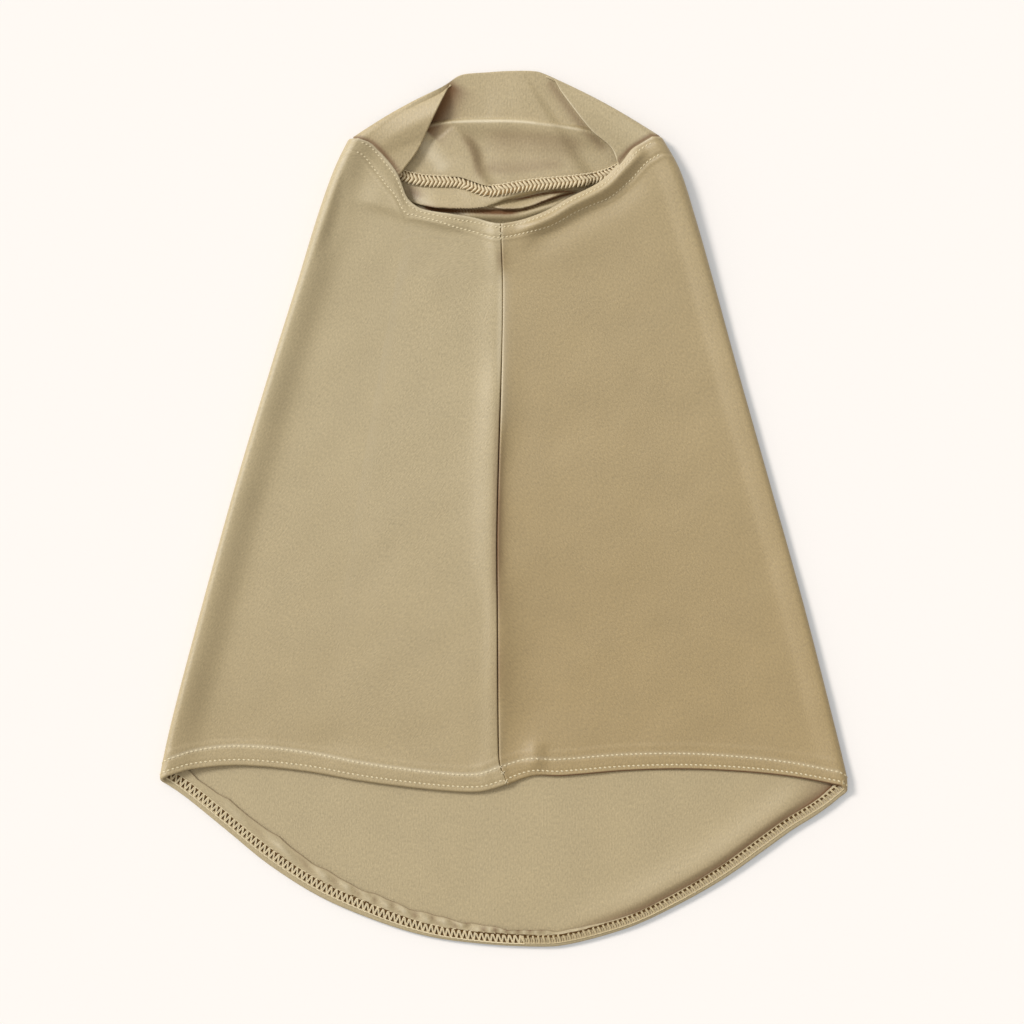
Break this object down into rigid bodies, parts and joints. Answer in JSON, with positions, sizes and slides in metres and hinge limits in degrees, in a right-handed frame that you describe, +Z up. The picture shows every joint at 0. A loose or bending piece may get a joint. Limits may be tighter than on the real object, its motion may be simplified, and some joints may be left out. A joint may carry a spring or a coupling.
{
  "type": "instant hijab",
  "caption": "Pull-on jersey head covering laid flat: a wrap-round cape with a centre front seam, a turned-up hem longer at the back, and a doubled crown band.",
  "frame": {"origin": "middle of the footprint, on the surface that the hijab lies on", "axes": "+Z up out of the cloth, +Y toward the crown, +X toward the right side of the picture"},
  "size_m": [0.3941, 0.5019, 0.0122],
  "materials": {
    "jersey": "matte sand-beige stretch jersey with a fine knit and a slight sheen",
    "overlock": "jersey edge bound with slightly paler matching thread"
  },
  "bodies": {
    "root": {"cape": "jersey", "front_seam": "overlock", "hem": "jersey", "neck_hem": "jersey", "crown_band": "jersey", "neck_seam": "overlock"}
  },
  "joints": []
}
